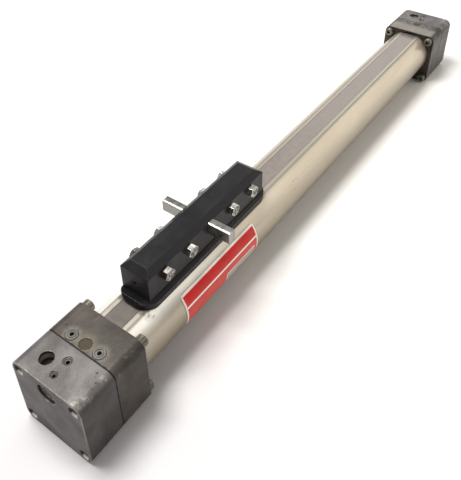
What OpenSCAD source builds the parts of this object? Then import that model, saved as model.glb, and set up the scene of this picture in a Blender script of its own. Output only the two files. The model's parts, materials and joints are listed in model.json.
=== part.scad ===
// Slotted-barrel rodless cylinder: end caps, flanges, bands, piston yoke and carriage.
// X runs along the cylinder, Z is up, the underside of the end caps lies on Z = 0.

/* [Stroke] */
// Travel of the carriage
stroke = 400; // [200:10:800]
// Cap face to carriage middle at either end of the stroke
end_length = 150; // [150:1:170]
// Carriage middle from the left end of the stroke, as drawn
carriage_at = 20.5; // [0:0.5:120]

/* [Caps and flanges] */
// Thickness of the flange roof above the barrel
cap_roof = 2.4; // [2:0.1:6]
// Radius along their four long corners
corner_r = 8; // [3:0.5:10]
// Length of an end cap
cap_len = 32.6; // [31:0.1:36]
// Thickness of the gasket between cap and flange
gasket_t = 0.8; // [0.5:0.1:1.5]
// How far the gasket stays back from the outside
gasket_inset = 0.4; // [0:0.1:1]
// Chamfer round the outer face of a cap
face_edge = 0.7; // [0.3:0.1:1]
// Chamfer round the other faces of caps and flanges
seam_edge = 0.3; // [0.1:0.1:0.4]
// Length of a flange
flange_len = 30.4; // [26:0.1:32]
// Distance of the corner screws from the sides
bolt_inset = 7; // [6.5:0.1:7.5]
// Depth of thread left free in each cap face
free_thread = 13.8; // [10:0.1:16]
// Mouth of the countersinks in each cap face
mouth_d = 10.4; // [7:0.1:10.6]

/* [Barrel] */
// Bore
bore_d = 40; // [40:0.1:40.4]
// Outside diameter of the barrel
tube_d = 58; // [57.6:0.1:58.2]
// Height of the bore axis above the cap underside
axis_h = 37.6; // [36.4:0.1:38]
// Length of the cap spigot inside the bore
spigot_len = 9.2; // [8.8:0.1:12]
// Depth of the barrel's flat top below its round outline
flat_drop = 2.8; // [2.6:0.1:3]
// Width of the slot
slot_w = 7.6; // [7.2:0.1:8.4]
// Gap between barrel and flange bore
flange_gap = 0.4; // [0.3:0.05:0.6]

/* [Bands] */
// Width of the outer band
outer_w = 18; // [16:0.1:18]
// Thickness of the outer band
outer_t = 0.4; // [0.3:0.05:0.5]
// Depth of the groove it lies in
groove_d = 0.5; // [0.5:0.05:0.7]
// Width of the inner band
inner_w = 12; // [10:0.1:12]
// Thickness of the inner band
inner_t = 0.5; // [0.3:0.05:0.5]
// Side play of both bands
band_play = 0.2; // [0.1:0.05:0.3]
// Where the outer band starts to lift, inside the skirt's end
lift_inset = 2.5; // [2:0.1:4]
// Running gap above and below a band
band_gap = 0.4; // [0.3:0.05:0.5]

/* [Air connections] */
// Port thread crest diameter
port_d = 11.44; // [9:0.01:11.6]
// Port depth
port_depth = 11; // [8:0.5:12]
// Port distance from the cap face
port_x = 15.4; // [13:0.1:17]
// Port offset from the middle
port_y = 14; // [13:0.1:15]
// Cushion needle distance from the cap face
needle_x = 22; // [21:0.1:23]
// Cushion needle head diameter
needle_d = 7.6; // [6:0.1:8]
// Depth of the needle's head in the cap
needle_head = 9.4; // [8:0.1:10]
// Depth of the needle's tip in the cap
needle_tip = 18.6; // [18:0.1:19]
// Check valve plug distance from the cap face
valve_x = 9.3; // [9:0.1:10]
// Check valve plug diameter
valve_d = 6.4; // [5:0.1:7]
// Passage plug diameter
passage_plug_d = 17.8; // [12:0.1:18]
// Passage plug height above the bore axis
passage_h = 19.9; // [19:0.1:21]

/* [Cushion] */
// Outside diameter of the cushion tube
cushion_d = 14; // [12:0.1:14]
// Inside diameter of the cushion tube
cushion_bore = 9; // [6:0.1:9.6]
// Free length of the cushion tube
cushion_len = 32; // [20:0.5:34]
// Length of the cushion tube held in the cap
cushion_seat = 12; // [10:0.5:13]

/* [Carriage] */
// Length of the carriage body
body_len = 155.6; // [150:0.1:160]
// Width of the carriage body
body_w = 28.1; // [28:0.1:30]
// Height of the carriage top above the cap underside
top_h = 97.7; // [97:0.1:104]
// Bevel along the top, across the width
bevel_y = 5.4; // [2:0.1:7]
// Bevel at the two ends, along the length
bevel_x = 6.6; // [2:0.1:10]
// Drop of both bevels
bevel_z = 4.6; // [2:0.1:6]
// Inner bolt distance from the carriage middle
bolt_x1 = 29; // [22:0.5:34]
// Outer bolt distance from the carriage middle
bolt_x2 = 58; // [48:0.5:64]
// Depth of the bolt rows below the carriage top
bolt_drop = 12.2; // [12:0.1:14]
// Height of the end set screws above the middle of the end face
set_screw_rise = 0.7; // [-2:0.1:2]

/* [Cross bar] */
// Cross bar length
bar_len = 70.4; // [50:0.1:90]
// Cross bar width along the cylinder
bar_w = 8; // [6:0.1:10]
// Cross bar height
bar_h = 12; // [8:0.1:12]
// Depth of the cross bar's top below the carriage top
bar_drop = 4.3; // [3.8:0.1:5]
// Gap round the cross bar in the carriage
bar_gap = 0.05; // [0.03:0.01:0.1]
// Radius along the cross bar's edges
bar_r = 1.5; // [0.5:0.1:2]

/* [Skirt] */
// How far the skirt reaches beyond the carriage body
skirt_reach = 7.7; // [6:0.1:8]
// Width of the skirt
skirt_w = 33.8; // [33.4:0.1:36]
// Corner radius of the skirt
skirt_r = 13.5; // [6:0.5:16]
// Gap between skirt and barrel
skirt_gap = 0.3; // [0.3:0.05:0.5]
// Run of the slope round the skirt's top
skirt_slope = 2.4; // [1.5:0.1:2.5]

/* [Piston] */
// Half length of the piston
piston_half = 105; // [104:0.5:105.5]
// Half length of the yoke's core
yoke_half = 50; // [49:0.5:52]
// Half length of the yoke's neck
neck_half = 42; // [36:0.5:43]
// Thickness of the yoke's neck
neck_t = 7; // [6:0.1:7]
// Half length of the yoke's top plate
plate_half = 46; // [44:0.5:50]
// Width of the yoke's top plate
plate_w = 27.6; // [27.2:0.1:27.8]
// Height of the inner band's tunnel above the bore axis
tunnel_h = 8.6; // [8:0.1:9]
// Half length over which the inner band leaves its seat
dip_half = 84; // [80:0.5:86]
// Middle of a wear ring from the yoke's middle
wear_x = 66; // [64:0.5:68]
// Width of a wear ring
wear_w = 7.8; // [6:0.1:8]
// Back of a lip seal's groove from the piston's end
seal_back = 13; // [12.5:0.1:14]
// Width of a lip seal
seal_w = 5; // [4.5:0.1:5.2]
// Running gap of piston rings and seals
ring_gap = 0.04; // [0.02:0.01:0.08]

/* [Screws] */
// Corner screw thread diameter
screw_d = 6; // [5:0.5:6]
// Corner screw head diameter
screw_head_d = 10; // [8.5:0.1:10]
// Corner screw head height
screw_head_h = 6; // [4:0.1:6]
// Hex bolt length under its head
bolt_len = 9; // [7:0.5:10]
// Hex bolt width across flats
hex_af = 10; // [8:0.1:10]
// Hex bolt head height
hex_h = 5.3; // [3:0.1:6]
// Length of the carriage's end set screws
set_screw_len = 11; // [8:0.5:12]
// Clamp screw thread diameter
clamp_d = 5; // [4:0.5:5]
// Clamp screw head diameter
clamp_head_d = 10; // [8:0.1:10]
// Clamp screw offset from the middle
clamp_y = 14; // [13.8:0.1:14.4]
// Small gap of a thread in its hole
thread_gap = 0.03; // [0.01:0.01:0.05]
// Gap round a screw in its clearance hole
hole_gap = 0.3; // [0.2:0.05:0.4]
// Piston head screw thread diameter
head_screw_d = 5; // [4:0.5:5]
// Radius of the piston head screws' circle
head_screw_r = 13.2; // [13:0.1:13.6]
// Carriage screw thread diameter
small_d = 2.5; // [2:0.1:2.5]
// Carriage screw head diameter
small_head_d = 4.5; // [4:0.1:4.5]
// Carriage screw head height
small_head_h = 2.2; // [2:0.1:2.4]
// Carriage screw length under its head
small_len = 9.8; // [8:0.1:10]
// Carriage screw offset from the middle
small_y = 10.9; // [10.8:0.1:11]
// Inner pair of plate screws from the carriage middle
small_x1 = 14; // [10:0.5:20]
// Outer pair of plate screws from the carriage middle
small_x2 = 38; // [32:0.5:40]
// Skirt screws from the end of the carriage body
small_inset = 3.8; // [3.6:0.1:5]

/* [Hidden] */
$fn = 72;
half = stroke / 2 + end_length;
tube_r = tube_d / 2;
flat_h = tube_r - flat_drop;
cap_size = axis_h + tube_r + cap_roof;
bolt_pitch = cap_size - 2 * bolt_inset;
cx = -half + end_length + carriage_at;
mid_h = cap_size / 2;
bore_r = bore_d / 2;
flange_x0 = cap_len + gasket_t;
flange_x1 = flange_x0 + flange_len;
barrel_half = half - flange_x0;
seat_h = bore_r + 0.8;
outer_z = flat_h - groove_d;
inner_z = seat_h - inner_t - 0.2;
spigot_end = flange_x0 + spigot_len;
spigot_r = bore_r - 0.05;
seal_groove_x = spigot_end - 5;
plug_r = clamp_head_d / 2;
clamp_x = flange_x0 + plug_r + 0.6;
shoe_half_l = plug_r;
shoe_half_w = clamp_y + 4.4;
shoe_z0 = flat_h + 0.05;
shoe_z1 = flat_h + 2;
body_z = axis_h + flat_h + 5.7;
body_half = body_len / 2;
bolt_h = top_h - bolt_drop;
set_screw_h = (body_z + top_h - bevel_z) / 2 + set_screw_rise;
bar_mid_h = top_h - bar_drop - bar_h / 2;
skirt_half = body_half + skirt_reach;
small_x3 = body_half - small_inset;
skirt_small_y = outer_w / 2 + small_head_d / 2 + 0.35;
plate_z = flat_h + band_gap;
plate_top = body_z - axis_h;
rise = plate_top + 0.25 - outer_z;
rise_far = skirt_half - lift_inset;
rise_near = plate_half + 1;
dip = inner_z - tunnel_h - 1.15;
thread_r = screw_d / 2;
tap_r = thread_r - 0.5;
mouth_r = mouth_d / 2;
head_screw_seat = piston_half - 5.2;
seal_x = piston_half - seal_back;
head_r = bore_r - 0.4;
head_screw_angles = [-160, -90, -20];

// Smooth rise from 0 to 1 as t goes from 0 to 1
function ease(t) = t * t * (3 - 2 * t);

// Solids along X
module along_x(x0, x1) {
  translate([x0, 0, 0]) rotate([90, 0, 90]) linear_extrude(height = x1 - x0) children();
}
// Solids along Y, drawn in X and Z
module along_y(y0, y1) {
  translate([0, y1, 0]) rotate([90, 0, 0]) linear_extrude(height = y1 - y0) children();
}
// Rod along X
module rod_x(r, x0, x1) {
  translate([x0, 0, 0]) rotate([0, 90, 0]) cylinder(r = r, h = x1 - x0);
}
// Rod along Z
module rod_z(r, z0, z1) {
  translate([0, 0, z0]) cylinder(r = r, h = z1 - z0);
}
// Cone along X
module cone_x(ra, rb, x0, x1) {
  translate([x0, 0, 0]) rotate([0, 90, 0]) cylinder(r1 = ra, r2 = rb, h = x1 - x0);
}
// Box centred on Y
module box_xz(x0, x1, wide, z0, z1) {
  translate([x0, -wide / 2, z0]) cube([x1 - x0, wide, z1 - z0]);
}
// Hexagonal prism along Z
module hex_z(af, z0, z1) {
  translate([0, 0, z0]) cylinder(r = af / 2 / cos(30), h = z1 - z0, $fn = 6);
}
// Rectangle with round corners, centred
module round_rect(w, h, r) {
  square([w - 2 * r, h], center = true);
  square([w, h - 2 * r], center = true);
  for (i = [-1, 1], j = [-1, 1]) translate([i * (w / 2 - r), j * (h / 2 - r)]) circle(r = r);
}
// Square block with round long corners, chamfered by edge0 at x0 and by edge1 at x1
module block_x(x0, x1, edge0, edge1) {
  s = cap_size / 2;
  flat = s - corner_r;
  for (turn = [0, 90]) rotate([turn, 0, 0]) along_y(-flat, flat) polygon([
    [x0, edge0 - s], [x0 + edge0, -s], [x1 - edge1, -s], [x1, edge1 - s],
    [x1, s - edge1], [x1 - edge1, s], [x0 + edge0, s], [x0, s - edge0]
  ]);
  for (i = [-1, 1], j = [-1, 1]) translate([0, i * flat, j * flat]) {
    cone_x(corner_r - edge0, corner_r, x0, x0 + edge0);
    rod_x(corner_r, x0 + edge0, x1 - edge1);
    cone_x(corner_r, corner_r - edge1, x1 - edge1, x1);
  }
}
module at_axis() {
  translate([0, 0, axis_h]) children();
}
// The left end is drawn from its outer face, the right end is its mirror
module left_end() {
  translate([-half, 0, 0]) children();
}
module right_end() {
  mirror([1, 0, 0]) translate([-half, 0, 0]) children();
}
module on_carriage() {
  translate([cx, 0, 0]) children();
}
module corners() {
  for (i = [-1, 1], j = [-1, 1])
    translate([0, i * bolt_pitch / 2, mid_h + j * bolt_pitch / 2]) children();
}

// Socket head screw along X: thread from x0 to x1, head beyond x1
module socket_screw(r, x0, x1, hr, hh, af) {
  difference() {
    union() {
      rod_x(r, x0, x1);
      rod_x(hr, x1, x1 + hh - 0.6);
      cone_x(hr, hr - 0.6, x1 + hh - 0.6, x1 + hh);
    }
    translate([x1 + hh, 0, 0]) rotate([0, 90, 0]) hex_z(af, -hh / 2, 1);
  }
}

module cap_shape() {
  difference() {
    union() {
      translate([0, 0, mid_h]) block_x(0, cap_len, face_edge, seam_edge);
      at_axis() rod_x(spigot_r, cap_len - 1, spigot_end);
    }
    at_axis() {
      rod_x(6, 6, spigot_end + 1);
      rod_x(cushion_d / 2 + thread_gap, spigot_end - cushion_seat, spigot_end + 1);
      difference() {
        rod_x(bore_r + 2, seal_groove_x - 1.6, seal_groove_x + 1.6);
        rod_x(bore_r - 2.25, seal_groove_x - 2, seal_groove_x + 2);
      }
      // cross drilling of the cushion passage and its closing recess
      translate([0, 0, passage_h]) {
        rod_x(2.5, 2, needle_x + 2);
        rod_x(passage_plug_d / 2 + thread_gap, -1, 4);
      }
      // passage from the annular space to the needle
      translate([0, 0, 15.5]) rod_x(1.5, needle_x, spigot_end + 1);
    }
    // free thread behind its countersink, then the thread the corner screws fill
    corners() {
      cone_x(mouth_r + 1, tap_r, -1, mouth_r - tap_r);
      rod_x(tap_r, -1, free_thread);
      rod_x(thread_r, free_thread - 0.4, cap_len + 1);
    }
    // air port with its slotted passage to the middle
    translate([port_x, port_y, 0]) rod_z(port_d / 2, cap_size - port_depth, cap_size + 1);
    translate([port_x - 4, port_y - 2.4, axis_h - 3])
      cube([8, 3, cap_size - port_depth - axis_h + 3.5]);
    translate([port_x - 4, 0, axis_h - 3]) cube([8, port_y + 0.6, 6]);
    translate([needle_x, 0, 0]) {
      rod_z(needle_d / 2 + thread_gap, cap_size - needle_head, cap_size + 1);
      rod_z(2.5, cap_size - needle_tip - 0.4, cap_size - needle_head + 0.4);
      rod_z(1.2, axis_h + 5, cap_size - needle_tip + 0.6);
    }
    translate([valve_x, 0, 0]) {
      rod_z(valve_d / 2 + thread_gap, cap_size - 8.4, cap_size + 1);
      rod_z(1.5, axis_h + 4, cap_size - 8);
    }
  }
}

module flange_shape() {
  difference() {
    translate([0, 0, mid_h]) block_x(flange_x0, flange_x1, seam_edge, seam_edge);
    at_axis() {
      rod_x(tube_r + flange_gap, flange_x0 - 1, flange_x1 + 1);
      // recess for the clamp shoe
      box_xz(flange_x0 - 1, clamp_x + shoe_half_l + 0.4, 2 * shoe_half_w + 0.8, 0, shoe_z1 + 0.3);
    }
    corners() rod_x(thread_r + hole_gap, flange_x0 - 1, flange_x1 + 1);
    translate([clamp_x, 0, 0]) {
      rod_z(plug_r + thread_gap, axis_h + flat_h, cap_size + 1);
      for (i = [-1, 1]) translate([0, i * clamp_y, 0]) {
        rod_z(clamp_d / 2 + hole_gap, axis_h + bore_r, cap_size + 1);
        rod_z(clamp_head_d / 2 + 0.2, cap_size - 1.2, cap_size + 1);
      }
    }
  }
}

module gasket_shape() {
  difference() {
    translate([0, 0, mid_h]) along_x(cap_len, flange_x0)
      round_rect(cap_size - 2 * gasket_inset, cap_size - 2 * gasket_inset, corner_r);
    at_axis() rod_x(bore_r + 0.2, cap_len - 1, flange_x0 + 1);
    corners() rod_x(thread_r + hole_gap, cap_len - 1, flange_x0 + 1);
  }
}

module flange_screw_shape() {
  corners() socket_screw(thread_r - thread_gap, free_thread, flange_x1, screw_head_d / 2, screw_head_h, 5);
}

module cap_seal_shape() {
  translate([seal_groove_x, 0, axis_h]) rotate([0, 90, 0])
    rotate_extrude() translate([bore_r - 1.14, 0]) circle(r = 1.08, $fn = 24);
}

module cushion_tube_shape() {
  at_axis() difference() {
    union() {
      rod_x(cushion_d / 2, spigot_end - cushion_seat, spigot_end + cushion_len - 2);
      cone_x(cushion_d / 2, cushion_d / 2 - 1, spigot_end + cushion_len - 2, spigot_end + cushion_len);
    }
    rod_x(cushion_bore / 2, spigot_end - cushion_seat - 1, spigot_end + cushion_len + 1);
  }
}

module shoe_bar(wide, z0, z1) {
  box_xz(clamp_x - shoe_half_l, clamp_x + shoe_half_l, wide, z0, z1);
}

module clamp_shoe_shape() {
  at_axis() difference() {
    union() {
      // pad on the barrel's flat and foot on the band
      shoe_bar(2 * shoe_half_w, shoe_z0, shoe_z1);
      shoe_bar(outer_w - 2 * band_play, outer_z + outer_t, shoe_z0 + 0.5);
    }
    for (i = [-1, 1]) translate([clamp_x, i * clamp_y, 0])
      rod_z(clamp_d / 2 + hole_gap, outer_z, tube_r + 1);
  }
}

module clamp_screw_shape() {
  for (i = [-1, 1]) translate([clamp_x, i * clamp_y, 0]) difference() {
    union() {
      rod_z(clamp_d / 2 - thread_gap, axis_h + flat_h - 8.2, cap_size - 1.2);
      rod_z(clamp_head_d / 2, cap_size - 1.2, cap_size + 0.2);
      translate([0, 0, cap_size + 0.2])
        cylinder(r1 = clamp_head_d / 2, r2 = clamp_head_d / 2 - 0.5, h = 0.4);
    }
    difference() {
      rod_z(3.5, cap_size + 0.1, cap_size + 1);
      rod_z(2.9, cap_size, cap_size + 1);
    }
    translate([0, 0, cap_size + 0.2]) cylinder(r1 = 1.5, r2 = 2, h = 0.5);
    hex_z(3, cap_size - 2.4, cap_size + 1);
  }
}

module access_plug_shape() {
  translate([clamp_x, 0, 0]) {
    rod_z(plug_r, axis_h + shoe_z1, cap_size - 0.4);
    translate([0, 0, cap_size - 0.4]) cylinder(r1 = plug_r, r2 = plug_r - 0.4, h = 0.3);
  }
}

module valve_plug_shape() {
  translate([valve_x, 0, 0]) difference() {
    rod_z(valve_d / 2, cap_size - 8.4, cap_size - 0.8);
    translate([0, 0, cap_size - 1.6]) cylinder(r1 = 1.6, r2 = valve_d / 2 - 0.5, h = 0.81);
    hex_z(2.5, cap_size - 4.4, cap_size);
  }
}

module needle_shape() {
  translate([needle_x, 0, 0]) {
    difference() {
      rod_z(needle_d / 2, cap_size - needle_head, cap_size - 0.7);
      translate([0, 0, cap_size - 1.5]) cylinder(r1 = 2, r2 = needle_d / 2 - 0.6, h = 0.81);
      hex_z(3, cap_size - 4.6, cap_size);
    }
    rod_z(1.7, cap_size - needle_tip + 2.6, cap_size - needle_head + 0.4);
    translate([0, 0, cap_size - needle_tip]) cylinder(r1 = 0.6, r2 = 1.7, h = 2.6);
  }
}

module passage_plug_shape() {
  at_axis() translate([0, 0, passage_h]) difference() {
    rod_x(passage_plug_d / 2, 1.8, 4);
    cone_x(6.4, 6, 1.7, 2.2);
  }
}

// Line of a band from x0 to x1: level at z, with a hump of the given lift over the yoke.
// The hump starts at far from the carriage middle and is full at near.
function band_points(x0, x1, z, far, near, lift) =
  let (
    steps = 12,
    left = [for (i = [0 : steps]) [cx - far + (far - near) * i / steps, z + lift * ease(i / steps)]],
    right = [for (i = [steps : -1 : 0]) [cx + far - (far - near) * i / steps, z + lift * ease(i / steps)]]
  ) concat([[x0, z]], left, right, [[x1, z]]);

// Strip of thickness t on a line of points
module strip(points, t) {
  n = len(points);
  polygon(concat(points, [for (i = [n - 1 : -1 : 0]) points[i] + [0, t]]));
}

// Half of the way that the inner band takes through the piston, open to above beyond the neck
module band_way() {
  steps = 12;
  floor_line = [for (i = [0 : steps])
    [neck_half + (dip_half - neck_half) * i / steps, inner_z - dip * ease(1 - i / steps) - band_gap]];
  along_y(-inner_w / 2 - 3 * band_play, inner_w / 2 + 3 * band_play) polygon(concat(
    [[-1, inner_z - dip - band_gap]],
    floor_line,
    [[dip_half + 2, inner_z - band_gap], [dip_half + 2, tube_r], [neck_half, tube_r]],
    [[neck_half, inner_z - dip + inner_t + 2 * band_gap], [-1, inner_z - dip + inner_t + 2 * band_gap]]
  ));
}

module head_shape() {
  at_axis() difference() {
    rod_x(head_r, yoke_half, piston_half);
    // groove of the wear ring
    difference() {
      rod_x(bore_r + 1, wear_x - wear_w / 2 - 0.1, wear_x + wear_w / 2 + 0.1);
      rod_x(bore_r - 1.6, wear_x - wear_w, wear_x + wear_w);
    }
    // groove of the lip seal
    difference() {
      rod_x(bore_r + 1, seal_x - 0.25, seal_x + seal_w + 0.25);
      rod_x(bore_r - 3.3, seal_x - 1, seal_x + seal_w + 1);
    }
    // bore over the cushion tube, and the groove of its seal
    rod_x(cushion_d / 2 + 1, yoke_half + 10, piston_half + 1);
    rod_x(cushion_d / 2 + 1.7, piston_half - 9.5, piston_half - 6.5);
    band_way();
    for (a = head_screw_angles) rotate([a, 0, 0]) translate([0, head_screw_r, 0]) {
      rod_x(head_screw_d / 2 + hole_gap, yoke_half - 1, piston_half + 1);
      rod_x(head_screw_d - 0.7, head_screw_seat, piston_half + 1);
    }
  }
}

module head_screw_shape() {
  at_axis() for (a = head_screw_angles) rotate([a, 0, 0]) translate([0, head_screw_r, 0])
    socket_screw(head_screw_d / 2 - thread_gap, yoke_half - 12, head_screw_seat, head_screw_d - 0.8, 5, 4);
}

module piston_seal_shape() {
  at_axis() translate([seal_x, 0, 0]) rotate([0, 90, 0]) rotate_extrude() polygon([
    [bore_r - 3.25, 0], [bore_r - 0.6, 0], [bore_r - 0.4, 1.6],
    [bore_r - ring_gap, seal_w], [bore_r - 0.7, seal_w], [bore_r - 1.6, seal_w / 2],
    [bore_r - 2.4, seal_w], [bore_r - 3.25, seal_w]
  ]);
}

module wear_ring_shape() {
  at_axis() difference() {
    rod_x(bore_r - ring_gap, wear_x - wear_w / 2, wear_x + wear_w / 2);
    rod_x(bore_r - 1.55, wear_x - wear_w, wear_x + wear_w);
    box_xz(wear_x - wear_w, wear_x + wear_w, inner_w + 8 * band_play, bore_r / 2, bore_r + 1);
  }
}

module cushion_seal_shape() {
  at_axis() difference() {
    rod_x(cushion_d / 2 + 1.65, piston_half - 9.4, piston_half - 6.6);
    rod_x(cushion_d / 2 + 0.05, piston_half - 10, piston_half - 6);
  }
}

// Places of the screws from the yoke's plate into the carriage body
module plate_screws() {
  for (x = [-small_x2, -small_x1, small_x1, small_x2], s = [-1, 1])
    translate([x, s * small_y, 0]) children();
}

// Places of the screws from the skirt into the carriage body
module skirt_screws() {
  for (x = [-small_x3, small_x3], s = [-1, 1]) translate([x, s * skirt_small_y, 0]) children();
}

module bolt_row() {
  for (x = [-bolt_x2, -bolt_x1, bolt_x1, bolt_x2]) translate([x, 0, bolt_h]) children();
}

// Hex bolt pointing to -Z, its seat at Z = 0
module hex_bolt(turn) {
  rod_z(thread_r - thread_gap, -bolt_len, 0);
  intersection() {
    rotate([0, 0, turn]) hex_z(hex_af, 0, hex_h);
    union() {
      rod_z(hex_af / 2 + 0.8, -0.1, hex_h - 0.5);
      translate([0, 0, hex_h - 0.5])
        cylinder(r1 = hex_af / 2 + 0.8, r2 = hex_af / 2 - 0.3, h = 0.5);
    }
  }
}

module barrel() {
  color("#c9c2b6") at_axis() difference() {
    intersection() {
      rod_x(tube_r, -barrel_half, barrel_half);
      box_xz(-half, half, tube_d + 2, -tube_r - 1, flat_h);
    }
    rod_x(bore_r, -half, half);
    box_xz(-half, half, slot_w, 0, tube_r + 1);
    box_xz(-half, half, inner_w + 2 * band_play, 0, seat_h);
    box_xz(-half, half, outer_w + 2 * band_play, outer_z, tube_r + 1);
    for (i = [-1, 1], j = [-1, 1]) translate([i * (half - clamp_x), j * clamp_y, 0])
      rod_z(clamp_d / 2, flat_h - 8.7, tube_r + 1);
  }
}

module outer_band() {
  ends = barrel_half - 0.5;
  color("#8f8a84") at_axis() along_y(-outer_w / 2, outer_w / 2)
    strip(band_points(-ends, ends, outer_z, rise_far, rise_near, rise), outer_t);
}

module inner_band() {
  ends = barrel_half - 0.5;
  color("#9a9a98") at_axis() along_y(-inner_w / 2, inner_w / 2)
    strip(band_points(-ends, ends, inner_z, dip_half, neck_half, -dip), inner_t);
}

module left_cap() {
  color("#7f7872") left_end() cap_shape();
}

module right_cap() {
  color("#7f7872") right_end() cap_shape();
}

module left_flange() {
  color("#7a736c") left_end() flange_shape();
}

module right_flange() {
  color("#7a736c") right_end() flange_shape();
}

module left_gasket() {
  color("#141312") left_end() gasket_shape();
}

module right_gasket() {
  color("#141312") right_end() gasket_shape();
}

module left_flange_screws() {
  color("#a7a29a") left_end() flange_screw_shape();
}

module right_flange_screws() {
  color("#a7a29a") right_end() flange_screw_shape();
}

module left_cap_seal() {
  color("#1b1b1b") left_end() cap_seal_shape();
}

module right_cap_seal() {
  color("#1b1b1b") right_end() cap_seal_shape();
}

module left_cushion_tube() {
  color("#b9b9b6") left_end() cushion_tube_shape();
}

module right_cushion_tube() {
  color("#b9b9b6") right_end() cushion_tube_shape();
}

module left_clamp_shoe() {
  color("#8b8680") left_end() clamp_shoe_shape();
}

module right_clamp_shoe() {
  color("#8b8680") right_end() clamp_shoe_shape();
}

module left_clamp_screws() {
  color("#c4c2bd") left_end() clamp_screw_shape();
}

module right_clamp_screws() {
  color("#c4c2bd") right_end() clamp_screw_shape();
}

module left_access_plug() {
  color("#6a6248") left_end() access_plug_shape();
}

module right_access_plug() {
  color("#6a6248") right_end() access_plug_shape();
}

module left_valve_plug() {
  color("#a19c94") left_end() valve_plug_shape();
}

module right_valve_plug() {
  color("#a19c94") right_end() valve_plug_shape();
}

module left_passage_plug() {
  color("#7c756e") left_end() passage_plug_shape();
}

module right_passage_plug() {
  color("#7c756e") right_end() passage_plug_shape();
}

module left_needle() {
  color("#aaa59c") left_end() needle_shape();
}

module right_needle() {
  color("#aaa59c") right_end() needle_shape();
}

// Plate with round ends, lying in X and Y
module round_plate(half_l, wide, r, z0, z1) {
  translate([0, 0, z0]) linear_extrude(height = z1 - z0) round_rect(2 * half_l, wide, r);
}

module piston_yoke() {
  color("#a9a7a2") on_carriage() at_axis() difference() {
    union() {
      rod_x(bore_r - 1, -yoke_half, yoke_half);
      // neck with round ends, which parts the bands as it travels
      round_plate(neck_half, neck_t, neck_t / 2 - 0.01, bore_r / 2, plate_z + 1);
      round_plate(plate_half, plate_w, 4, plate_z, plate_top);
    }
    // tunnel of the inner band, sloping up to both ends
    band_way();
    mirror([1, 0, 0]) band_way();
    for (s = [0, 1], a = head_screw_angles) mirror([s, 0, 0]) rotate([a, 0, 0])
      translate([0, head_screw_r, 0]) rod_x(head_screw_d / 2, yoke_half - 13, yoke_half + 1);
    plate_screws() {
      rod_z(small_d / 2 + 0.2, plate_z - 1, plate_top + 1);
      rod_z(small_head_d / 2 + 0.15, plate_z - 1, plate_z + small_head_h + 0.1);
    }
  }
}

module left_piston_head() {
  color("#b3b1ad") on_carriage() mirror([1, 0, 0]) head_shape();
}

module right_piston_head() {
  color("#b3b1ad") on_carriage() head_shape();
}

module left_head_screws() {
  color("#8a8a88") on_carriage() mirror([1, 0, 0]) head_screw_shape();
}

module right_head_screws() {
  color("#8a8a88") on_carriage() head_screw_shape();
}

module left_piston_seal() {
  color("#202020") on_carriage() mirror([1, 0, 0]) piston_seal_shape();
}

module right_piston_seal() {
  color("#202020") on_carriage() piston_seal_shape();
}

module left_wear_ring() {
  color("#d9d4c4") on_carriage() mirror([1, 0, 0]) wear_ring_shape();
}

module right_wear_ring() {
  color("#d9d4c4") on_carriage() wear_ring_shape();
}

module left_cushion_seal() {
  color("#202020") on_carriage() mirror([1, 0, 0]) cushion_seal_shape();
}

module right_cushion_seal() {
  color("#202020") on_carriage() cushion_seal_shape();
}

module carriage_body() {
  h = body_half;
  w = body_w / 2;
  color("#26242a") on_carriage() difference() {
    intersection() {
      along_x(-h, h) polygon([
        [-w, body_z], [w, body_z], [w, top_h - bevel_z],
        [w - bevel_y, top_h], [-w + bevel_y, top_h], [-w, top_h - bevel_z]
      ]);
      along_y(-w, w) polygon([
        [-h, body_z], [h, body_z], [h, top_h - bevel_z],
        [h - bevel_x, top_h], [-h + bevel_x, top_h], [-h, top_h - bevel_z]
      ]);
    }
    // channel of the outer band
    box_xz(-rise_near - 14, rise_near + 14, outer_w + 3 * band_play, body_z - 1,
      body_z + 0.25 + outer_t + 2.5 * band_gap);
    translate([0, 0, bar_mid_h]) along_y(-w - 1, w + 1)
      round_rect(bar_w + 2 * bar_gap, bar_h + 2 * bar_gap, bar_r + bar_gap);
    for (turn = [-90, 90]) bolt_row() rotate([turn, 0, 0]) rod_z(thread_r, w - bolt_len - 1, w + 1);
    for (s = [0, 1]) mirror([s, 0, 0]) translate([0, 0, set_screw_h])
      rod_x(thread_r, h - set_screw_len - 1, h + 1);
    plate_screws() rod_z(small_d / 2, body_z - 1, body_z + 9);
    skirt_screws() rod_z(small_d / 2, body_z - 1, body_z + 9);
  }
}

module skirt() {
  h = skirt_half;
  w = skirt_w / 2;
  low = axis_h + bore_r;
  color("#171618") on_carriage() difference() {
    intersection() {
      round_plate(h, skirt_w, skirt_r, low, body_z);
      along_x(-h - 1, h + 1) polygon([
        [-w - 1, low - 1], [w + 1, low - 1], [w + 1, body_z - skirt_slope - 1],
        [w - skirt_slope, body_z], [-w + skirt_slope, body_z], [-w - 1, body_z - skirt_slope - 1]
      ]);
      along_y(-w - 1, w + 1) polygon([
        [-h - 1, low - 1], [h + 1, low - 1], [h + 1, body_z - skirt_slope - 1],
        [h - skirt_slope, body_z], [-h + skirt_slope, body_z], [-h - 1, body_z - skirt_slope - 1]
      ]);
    }
    at_axis() {
      // saddle on the barrel
      intersection() {
        rod_x(tube_r + skirt_gap, -h - 1, h + 1);
        box_xz(-h - 1, h + 1, tube_d + 2, 0, flat_h + skirt_gap);
      }
      // room for the yoke's plate, and for the outer band where it lifts
      box_xz(-small_x3 + 4, small_x3 - 4, plate_w + 0.4, bore_r - 1, plate_top + 1);
      box_xz(-rise_far - 1, rise_far + 1, outer_w + 3 * band_play, bore_r, flat_h + 3.1);
      skirt_screws() {
        rod_z(small_d / 2 + 0.2, bore_r, plate_top + 1);
        rod_z(small_head_d / 2 + 0.15, bore_r, plate_z + small_head_h + 0.1);
      }
    }
  }
}

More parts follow.
